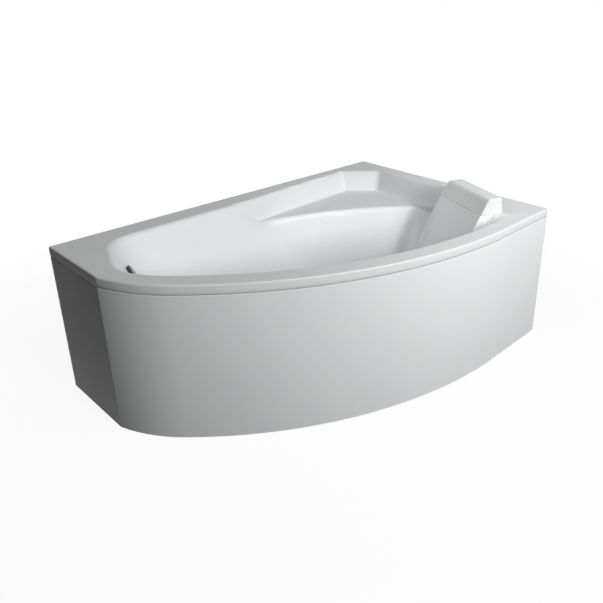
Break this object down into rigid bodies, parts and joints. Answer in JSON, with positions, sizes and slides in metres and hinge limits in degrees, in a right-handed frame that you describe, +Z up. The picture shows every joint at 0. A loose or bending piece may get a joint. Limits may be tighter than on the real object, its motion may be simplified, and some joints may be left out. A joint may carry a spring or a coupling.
{
  "type": "corner bathtub",
  "caption": "Asymmetric corner bathtub with a bowed front panel, a slanted bowl, a corner shelf, a wedge headrest, and a steel frame on screw feet.",
  "frame": {"origin": "centre of the footprint on the floor", "axes": "+X along the long wall towards the wide end, +Y towards the long wall, +Z up; the bowed panel faces -Y"},
  "size_m": [1.6, 1.05, 0.6444],
  "materials": {
    "acrylic": "polished white acrylic",
    "panel": "polished white acrylic",
    "soft_pad": "white polyurethane foam with a smooth skin",
    "board": "particle board",
    "timber": "planed softwood",
    "frame_steel": "galvanised tube",
    "zinc_steel": "zinc plated",
    "spring_steel": "bare spring steel",
    "chrome": "polished chrome",
    "dark_metal": "dark polished finish",
    "rubber": "black rubber",
    "black_plastic": "black moulded plastic",
    "grey_plastic": "grey moulded plastic",
    "white_plastic": "white moulded plastic"
  },
  "bodies": {
    "tub": {"tub_shell": "acrylic", "base_board": "board", "batten_back": "timber", "batten_head": "timber", "batten_front": "timber", "panel_clips": "spring_steel", "drain_flange": "chrome", "trap_nut": "white_plastic", "trap_body": "white_plastic", "trap_cup": "white_plastic", "outlet_pipe": "white_plastic", "outlet_nut": "white_plastic", "waste_body": "white_plastic", "overflow_bezel": "chrome", "gaskets": "rubber", "overflow_body": "white_plastic", "overflow_pipe": "white_plastic", "weld_nuts": "zinc_steel", "cross_bar_foot": "frame_steel", "cross_bar_middle": "frame_steel", "cross_bar_head": "frame_steel", "rail_front": "frame_steel", "rail_back": "frame_steel", "rail_header": "frame_steel", "post_foot_back": "frame_steel", "post_foot_front": "frame_steel", "post_middle_back": "frame_steel", "post_middle_front": "frame_steel", "post_head_back": "frame_steel", "post_head_front": "frame_steel"},
    "headrest_block": {"headrest": "soft_pad", "headrest_pegs": "grey_plastic"},
    "panel": {"front_panel": "panel"},
    "knob": {"overflow_knob": "dark_metal"},
    "plug": {"drain_plug": "chrome"},
    "pad_1": {"foot_pad_1": "black_plastic"},
    "stud_1": {"foot_stud_1": "zinc_steel"},
    "pad_2": {"foot_pad_2": "black_plastic"},
    "stud_2": {"foot_stud_2": "zinc_steel"},
    "pad_3": {"foot_pad_3": "black_plastic"},
    "stud_3": {"foot_stud_3": "zinc_steel"},
    "pad_4": {"foot_pad_4": "black_plastic"},
    "stud_4": {"foot_stud_4": "zinc_steel"},
    "pad_5": {"foot_pad_5": "black_plastic"},
    "stud_5": {"foot_stud_5": "zinc_steel"}
  },
  "joints": [
    {"name": "foot_1_height", "type": "slide", "parent": "tub", "child": "pad_1", "axis": [0, 0, -1], "range_m": [0, 0.025]},
    {"name": "foot_1_turn", "type": "hinge", "parent": "pad_1", "child": "stud_1", "pos_m": [-0.56, 0.4, 0.06], "axis": [0, 0, 1], "range_deg": [0, 5143]},
    {"name": "foot_2_height", "type": "slide", "parent": "tub", "child": "pad_2", "axis": [0, 0, -1], "range_m": [0, 0.025]},
    {"name": "foot_2_turn", "type": "hinge", "parent": "pad_2", "child": "stud_2", "pos_m": [-0.56, -0.03, 0.06], "axis": [0, 0, 1], "range_deg": [0, 5143]},
    {"name": "foot_3_height", "type": "slide", "parent": "tub", "child": "pad_3", "axis": [0, 0, -1], "range_m": [0, 0.025]},
    {"name": "foot_3_turn", "type": "hinge", "parent": "pad_3", "child": "stud_3", "pos_m": [0.04, -0.33, 0.06], "axis": [0, 0, 1], "range_deg": [0, 5143]},
    {"name": "foot_4_height", "type": "slide", "parent": "tub", "child": "pad_4", "axis": [0, 0, -1], "range_m": [0, 0.025]},
    {"name": "foot_4_turn", "type": "hinge", "parent": "pad_4", "child": "stud_4", "pos_m": [0.56, -0.4, 0.06], "axis": [0, 0, 1], "range_deg": [0, 5143]},
    {"name": "foot_5_height", "type": "slide", "parent": "tub", "child": "pad_5", "axis": [0, 0, -1], "range_m": [0, 0.025]},
    {"name": "foot_5_turn", "type": "hinge", "parent": "pad_5", "child": "stud_5", "pos_m": [0.56, 0.4, 0.06], "axis": [0, 0, 1], "range_deg": [0, 5143]},
    {"name": "knob_turn", "type": "hinge", "parent": "tub", "child": "knob", "pos_m": [-0.64093, 0.27409, 0.504], "axis": [0.8215, -0.3236, 0.4695], "range_deg": [0, 90]},
    {"name": "plug_lift", "type": "slide", "parent": "tub", "child": "plug", "axis": [0, 0, 1], "range_m": [0, 0.0101]},
    {"name": "headrest_lift", "type": "slide", "parent": "tub", "child": "headrest_block", "axis": [0, 0, 1], "range_m": [0, 0.06]},
    {"name": "panel_pull", "type": "slide", "parent": "tub", "child": "panel", "axis": [-0.6, -0.8, 0], "range_m": [0, 0.25]}
  ],
  "couplings": [
    {"joint": "foot_1_turn", "follows": "foot_1_height", "rad_per_m": 3590.4},
    {"joint": "foot_2_turn", "follows": "foot_2_height", "rad_per_m": 3590.4},
    {"joint": "foot_3_turn", "follows": "foot_3_height", "rad_per_m": 3590.4},
    {"joint": "foot_4_turn", "follows": "foot_4_height", "rad_per_m": 3590.4},
    {"joint": "foot_5_turn", "follows": "foot_5_height", "rad_per_m": 3590.4},
    {"joint": "plug_lift", "follows": "knob_turn", "m_per_rad": 0.0063662}
  ]
}
